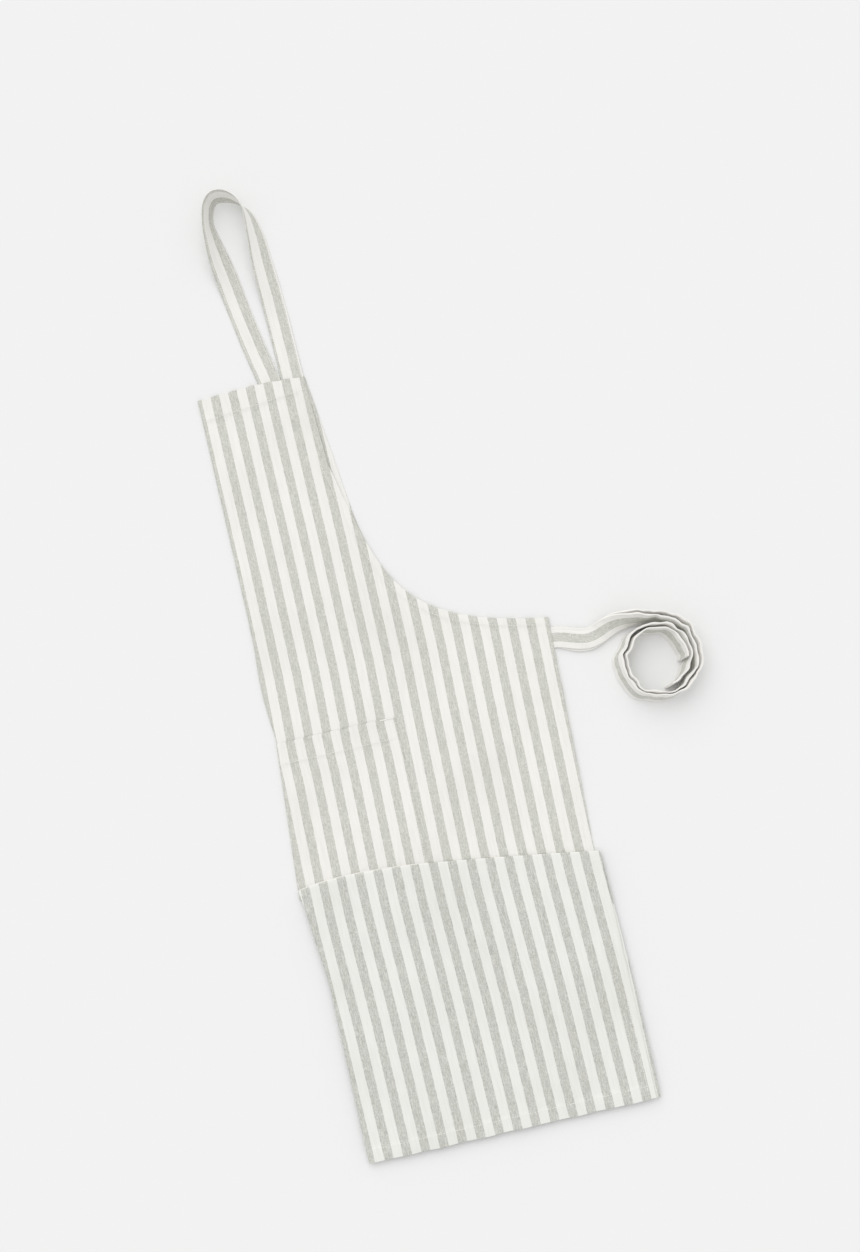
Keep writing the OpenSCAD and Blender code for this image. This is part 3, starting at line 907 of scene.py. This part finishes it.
ties = {
    "width": 25, "drop": 13, "sewn": 23, "gap": 0.4, "slip": 3, "reach": 114, "middleDrop": 78,
    "outer": 55, "inner": 36, "spread": 520, "from": 20, "bearing": 110, "step": 5,
    "frontTurn": 485, "rearTurn": 545, "rollGap": 5.6, "footGap": 1.6, "fullGapRoll": 80, "lean": (11, 5),
    "thick": 2.1, "seamThick": 2.45, "thicken": 12, "sewnHeight": 0.3, "sewnLift": 0.5,
    "kinks": ((1.1, 6.3, 0), (0.6, 10.7, 1)), "kinkIn": 60,
    "wrinkle": 1.6, "wrinkleSize": 11, "sway": 2.4, "swaySize": 10,
    # place from the side, height above the settled tape as a share, roll, share of the rear tie's slip
    "run": [(3, 0, 1, 0, 0), (12, -2, 0.7, 0, 0.4), (22, -5.5, 0.4, 0, 0.9), (32, -8.5, 0.2, 0, 1),
            (42, -9.5, 0.1, 0, 0.8), (53, -7, 0, 5, 0.5), (65, -1.5, 0, 18, 0.2), (79, 3, 0, 36, 0),
            (95, 4, 0, 62, 0)],
    "bands": {"front": (-12.5, 1), "back": (-12.5, 1), "leftEdge": 11.1, "rightEdge": 11.1},
}
tieMiddle = -ties["drop"] - ties["width"] / 2
tieStart = waistWidth - ties["drop"] * leanIn + ties["gap"]
rollMiddle = np.array([waistWidth + tieMiddle * leanIn + ties["reach"], -ties["middleDrop"]])


def tieRoute(turn, slip):
    sewnAt = ties["sewnHeight"]
    points = [(tieStart - ties["sewn"], tieMiddle, sewnAt, 0), (tieStart - 8, tieMiddle, sewnAt, 0)]
    for out, up, share, roll, slipShare in ties["run"]:
        low = tapeShape["low"] + (sewnAt - tapeShape["low"]) * share
        points.append((tieStart + out, tieMiddle + up - slip * slipShare, low, roll))
    rolled = []
    for a in np.arange(ties["from"], turn + 1, ties["step"]):
        bearing = math.radians(ties["bearing"] - a)
        kink = sum(high * math.sin(math.radians(rate * a) + start) for high, rate, start in ties["kinks"])
        radius = ties["outer"] - (ties["outer"] - ties["inner"]) * a / ties["spread"]
        radius += kink * min(1, (a - ties["from"]) / ties["kinkIn"])
        rolled.append((rollMiddle[0] + radius * math.cos(bearing), rollMiddle[1] + radius * math.sin(bearing),
                       tapeShape["low"], 80 + 10 * min(1, (a - ties["from"]) / 15)))
    route = np.concatenate([smoothRoute(points + [rolled[0]], 8), rolled[1:]])
    return raised(route, ties["width"], mixed((tapeShape["thick"], ties["seamThick"]), tieClear(route)))


def tieClear(route, before=0):
    # 0 at the waist seam and 1 where a tie is clear of it
    return smoothStep(tieStart - before, tieStart + ties["thicken"], route[:, 0])


def leanRoll(points, rolls):
    # creases the ties' flat run, and leans and kinks the rolled tape
    creased = smoothStep(tieStart + 14, tieStart + 40, points[:, 0]) * smoothStep(85, 50, rolls)
    slant = np.stack([points[:, 0] + 0.7 * points[:, 1], 0.35 * points[:, 1]], 1)
    creases = np.maximum(0, ripple(slant, ties["wrinkleSize"], 5.3) + 0.25)
    points[:, 2] += ties["wrinkle"] * creased * creases
    rolled = smoothStep(25, 88, rolls)
    share = np.clip(points[:, 2] / ties["width"], 0, 1) * rolled
    points[:, :2] += (share - 0.5 * rolled)[:, None] * ties["lean"]
    sway = np.stack([ripple(points, ties["swaySize"], 7.7), ripple(points, ties["swaySize"], 9.1)], 1)
    points[:, :2] += ties["sway"] * share[:, None] * sway
    return points


def madeTie(name, route):
    thick = mixed((tapeShape["sewnThick"], ties["thick"]), tieClear(route))
    return sweptTape(name, route, ties["width"], thick, ties["bands"], leanRoll)


rearRoute = tieRoute(ties["rearTurn"], ties["slip"])
frontRoute = tieRoute(ties["frontTurn"], 0)
frontDeep = tapeFrames(frontRoute)[2]
frontBearing = np.arctan2(frontRoute[:, 1] - rollMiddle[1], frontRoute[:, 0] - rollMiddle[0])
frontGap = ties["rollGap"] - ties["footGap"] * np.maximum(0, -np.sin(frontBearing))
frontLift = mixed((ties["sewnLift"], ties["seamThick"]), tieClear(frontRoute, 2))
frontLift = mixed((frontLift, frontGap), smoothStep(8, ties["fullGapRoll"], frontRoute[:, 3]))
frontRoute[:, :3] += frontDeep * frontLift[:, None]
rearTie, rearLength, rearRings = madeTie("rearWaistTie", rearRoute)
frontTie, frontLength, frontRings = madeTie("frontWaistTie", frontRoute)
print("strap and ties made", round(strapLength), round(frontLength), round(rearLength))

# Stitching: one small stitch, copied along each sewn row
stitch = {"pitch": 3.1, "length": 2.7, "thick": 0.55, "broad": 1.15, "sunk": 0.08, "sides": 6, "rings": 4,
          "pressed": 0.1, "fromFold": 1.5, "steepest": 0.0012}
bpy.ops.object.select_all(action="DESELECT")
bpy.ops.mesh.primitive_uv_sphere_add(segments=stitch["sides"], ring_count=stitch["rings"], radius=0.5,
                                     rotation=(0, math.pi / 2, 0))
sample = bpy.context.object
bpy.ops.object.transform_apply(location=False, rotation=True, scale=False)
samplePoints = np.array([tuple(v.co) for v in sample.data.vertices])
sampleFaces = [tuple(f.vertices) for f in sample.data.polygons]
bpy.data.objects.remove(sample)


def stitchesAt(middles, runs, normals, length=stitch["length"], thick=stitch["thick"]):
    # points and faces of stitches that lie at the given places, along the given runs
    points, faces = [], []
    for middle, run, normal in zip(middles, runs, normals):
        run = run / np.linalg.norm(run)
        sideways = np.cross(normal, run)
        sideways /= np.linalg.norm(sideways)
        axes = np.array([run, sideways, np.cross(run, sideways)])
        start = len(points) * len(samplePoints)
        points.append(middle + (samplePoints * (length, thick * stitch["broad"], thick)) @ axes)
        faces += [tuple(start + k for k in face) for face in sampleFaces]
    return np.concatenate(points), faces


def surfaceAt(tree, x, y, above=True):
    # place and normal of the highest or the lowest cloth at a point
    start = Vector(((x + foldX) * mm, y * mm, 0.09 if above else -0.01))
    return tree.ray_cast(start, Vector((0, 0, -1 if above else 1)))[:2]


def rowOn(tree, line, above=True):
    # a row of stitches along a line, laid on the highest or the lowest cloth there
    line = resampled(line, stitch["pitch"])
    middles, runs, normals = [], [], []
    for a, b in zip(line[:-1], line[1:]):
        places = (a + (b - a) * 0.15, (a + b) / 2, b - (b - a) * 0.15)
        ends = [hit for hit in (surfaceAt(tree, *p, above) for p in places) if hit[0] is not None]
        if len(ends) == 3 and abs(ends[0][0].z - ends[2][0].z) < stitch["steepest"]:
            place, normal = (np.array(v) for v in ends[1])
            normal *= 1 if (normal[2] > 0) == above else -1
            lift = stitch["thick"] / 2 - stitch["sunk"] - stitch["pressed"]
            middles.append(place * 1000 - (foldX, 0, 0) + normal * lift)
            runs.append(np.array(ends[2][0] - ends[0][0]) * 1000)
            normals.append(normal)
    return stitchesAt(middles, runs, normals)


def rowAlongTape(rings, index):
    # a row of stitches along one line of a tape's rings
    line = rings[:, index]
    side = rings[:, index + 1] - rings[:, index - 1]
    lengths = lengthsAlong(line)
    at = np.arange(stitch["pitch"], lengths[-1] - stitch["pitch"], stitch["pitch"])
    middles, sides, before, after, centres = (
        np.stack([np.interp(at + d, lengths, what[:, k]) for k in range(3)], 1)
        for what, d in ((line, 0), (side, 0), (line, -1), (line, 1), (rings.mean(1), 0)))
    runs = after - before
    normals = np.cross(sides, runs)
    normals /= np.linalg.norm(normals, axis=1)[:, None]
    normals *= np.sign(((middles - centres) * normals).sum(1))[:, None]
    return stitchesAt(middles + normals * (stitch["thick"] / 2 - stitch["sunk"]), runs, normals)


def sewn(name, rows):
    points, faces, start = [], [], 0
    for rowPoints, rowFaces in rows:
        points.append(rowPoints)
        faces += [tuple(start + k for k in face) for face in rowFaces]
        start += len(rowPoints)
    piece = newPiece(name, np.concatenate(points), faces)
    finishMesh(piece, thread, 70)
    return piece


def treeOf(piece):
    places = [v.co for v in piece.data.vertices]
    return BVHTree.FromPolygons(places, [tuple(f.vertices) for f in piece.data.polygons])


def sewnThrough(name, cloth, frontRows, rearRows):
    # rows of stitches on the highest and on the lowest layer of a piece of cloth
    tree = treeOf(cloth)
    return sewn(name, [rowOn(tree, row) for row in frontRows] + [rowOn(tree, row, False) for row in rearRows])


def upperRows(slip):
    shoulder = np.array([[apron["bibWidth"] + slip * 0.15, bibTop - apron["topHemEnd"] - 2]])
    arm = np.concatenate([shoulder, armhole(slip)[:-2]])
    side = resampled([(waistWidth, -3), valleySide], 5)
    topRow = [np.array((x, topHemLine(x) + 1.9)) for x in (2, apron["bibWidth"] - 2)]
    fromEdge = apron["edgeHem"] - stitch["fromFold"]
    return [topRow, beside(arm, fromEdge), beside(side, fromEdge)[:-4]]


def lowerRows(slip):
    y = hemY + apron["bottomHem"] - stitch["fromFold"]
    return [beside(lowerSide(slip)[1:-1], apron["edgeHem"] - stitch["fromFold"]),
            [(lowerWidth + slip - 1.5, y), (1 - apron["hemOut"], y)]]


pocketSeam = pocketWidth - pocket["seam"]
pocketHemRow = pocketTop - pocket["hem"] + stitch["fromFold"]
pocketRows = [[(3, pocketHemRow), (pocketSeam - 1, pocketHemRow)],
              [(pocketSeam, pocketTop - 3), (pocketSeam, pocketValley[-1][1] + 8)]]
upperStitching = sewnThrough("upperStitching", upperPanel, upperRows(0), upperRows(apron["rearSlip"]))
pocketStitching = sewnThrough("pocketStitching", patchPocket, pocketRows, pocketRows)

tack = {"from": -18, "to": -1.2, "down": 1.0, "lift": 0.12,
        "pitch": 0.5, "length": 2.1, "thick": 0.5, "slant": 0.25}
pocketTree = treeOf(patchPocket)
tackX = np.arange(pocketWidth + tack["from"], pocketWidth + tack["to"], tack["pitch"])
tackY = pocketTop - tack["down"]
tackZ = max(surfaceAt(pocketTree, x, tackY)[0].z for x in tackX) * 1000 + tack["lift"]
tackMiddles = np.array([(x, tackY, tackZ) for x in tackX])
tackRuns = np.array([(tack["slant"] * (-1) ** k, 1, 0) for k in range(len(tackX))])
tackNormals = np.array([(0, 0, 1)] * len(tackX))
pocketBarTack = sewn("pocketBarTack", [stitchesAt(tackMiddles, tackRuns, tackNormals, tack["length"],
                                                  tack["thick"])])
lowerStitching = sewnThrough("lowerStitching", lowerPanel, lowerRows(0), lowerRows(apron["hemSlip"]))
seams = [acrossShares.index(0.8), acrossShares.index(-0.8)]
seams += [2 * len(acrossShares) - 1 - k for k in seams]
strapStitching = sewn("strapStitching", [rowAlongTape(strapRings, k) for k in seams])
tieStitching = sewn("tieStitching", [rowAlongTape(rings, k) for rings in (frontRings, rearRings)
                                     for k in seams])
print("stitching made")

# Camera, light and floor
camera = {"aim": (0.0351, 0.0213), "distance": 3.55, "pictureHeight": 1.502, "turn": -13.0, "sensor": 36}
stage = {"floor": (0.86, 0.86, 0.86, 1), "floorSize": 9, "floorAt": -0.0003,
         "world": 0.785, "key": 1.08, "softness": 60, "keyFrom": (-0.15, 1.0, 1.05)}
bpy.ops.object.camera_add(location=(*camera["aim"], camera["distance"]),
                          rotation=(0, 0, math.radians(camera["turn"])))
cameraObject = bpy.context.object
cameraObject.data.sensor_width = camera["sensor"]
cameraObject.data.lens = camera["sensor"] * camera["distance"] / camera["pictureHeight"]
bpy.context.scene.camera = cameraObject
bpy.context.scene.view_settings.view_transform = "Standard"

bpy.ops.mesh.primitive_plane_add(size=stage["floorSize"], location=(0, 0, stage["floorAt"]))
floor = bpy.context.object
floor.name = "floor"
floorNodes = Nodes("pale floor")
floorNodes.shader.inputs["Base Color"].default_value = stage["floor"]
floorNodes.shader.inputs["Roughness"].default_value = 0.9
floorNodes.shader.inputs["Specular IOR Level"].default_value = 0.1
floor.data.materials.append(floorNodes.material)

world = bpy.data.worlds.new("studio")
bpy.context.scene.world = world
world.use_nodes = True
world.node_tree.nodes["Background"].inputs["Color"].default_value = (1, 1, 1, 1)
world.node_tree.nodes["Background"].inputs["Strength"].default_value = stage["world"]

sun = bpy.data.objects.new("key", bpy.data.lights.new("key", "SUN"))
sun.data.energy, sun.data.angle = stage["key"], math.radians(stage["softness"])
bpy.context.collection.objects.link(sun)
sun.rotation_euler = Vector(stage["keyFrom"]).to_track_quat("Z", "Y").to_euler()
print("stage set")

# What each piece rides on and which CAD nodes it stands for; the flat sizes of the sheets are worked out at
# the end but not kept
for piece, nodes in ((upperPanel, ["upper_panel"]), (patchPocket, ["pocket"]),
                     (pocketBarTack, ["pocket_bar_tack"]),
                     (upperStitching, ["top_hem_stitching", "armhole_stitching", "upper_side_stitching"]),
                     (pocketStitching, ["pocket_hem_stitching", "pocket_edge_stitching"])):
    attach(piece, "upper_apron")
    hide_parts(*nodes)
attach(lowerStitching, "lower_skirt")
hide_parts("lower_side_stitching", "bottom_hem_stitching")
for piece, node in ((pleatPanel, "pleat_panel"), (pocketPleat, "pleat_pocket")):
    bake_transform(piece)
    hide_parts(node)
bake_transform(lowerPanel)
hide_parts("lower_panel")
for piece, nodes in ((neckStrap, ["neck_strap", "strap_ends"]), (strapStitching, ["strap_edge_stitching"])):
    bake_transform(piece)
    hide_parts(*nodes)
for piece, nodes in ((frontTie, ["front_waist_tie", "front_tie_end"]),
                     (rearTie, ["rear_waist_tie", "rear_tie_end"]),
                     (tieStitching, ["tie_edge_stitching"])):
    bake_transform(piece)
    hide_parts(*nodes)


def outlineArea(runs):
    # area inside a closed outline, in square metres
    x, y = np.concatenate([np.array(run)[:-1] for run in runs]).T
    return abs((x * np.roll(y, -1) - y * np.roll(x, -1)).sum()) / 2 * mm * mm


def cutSize(width, length):
    return (width * mm, length * mm)


cutSize(2 * waistWidth, bibTop - valleySide[1])
2 * outlineArea(upperRuns(0, 0))
cutSize(2 * waistWidth, pleat["depth"])
cutSize(2 * lowerWidth, crestFold[1] - hemY)
cutSize(2 * pocketWidth, pocketTop - pocketValley[-1][1])
cutSize(2 * pocketWidth, pleat["depth"])
cutSize(strap["width"], strapLength)
cutSize(ties["width"], frontLength)
cutSize(ties["width"], rearLength)
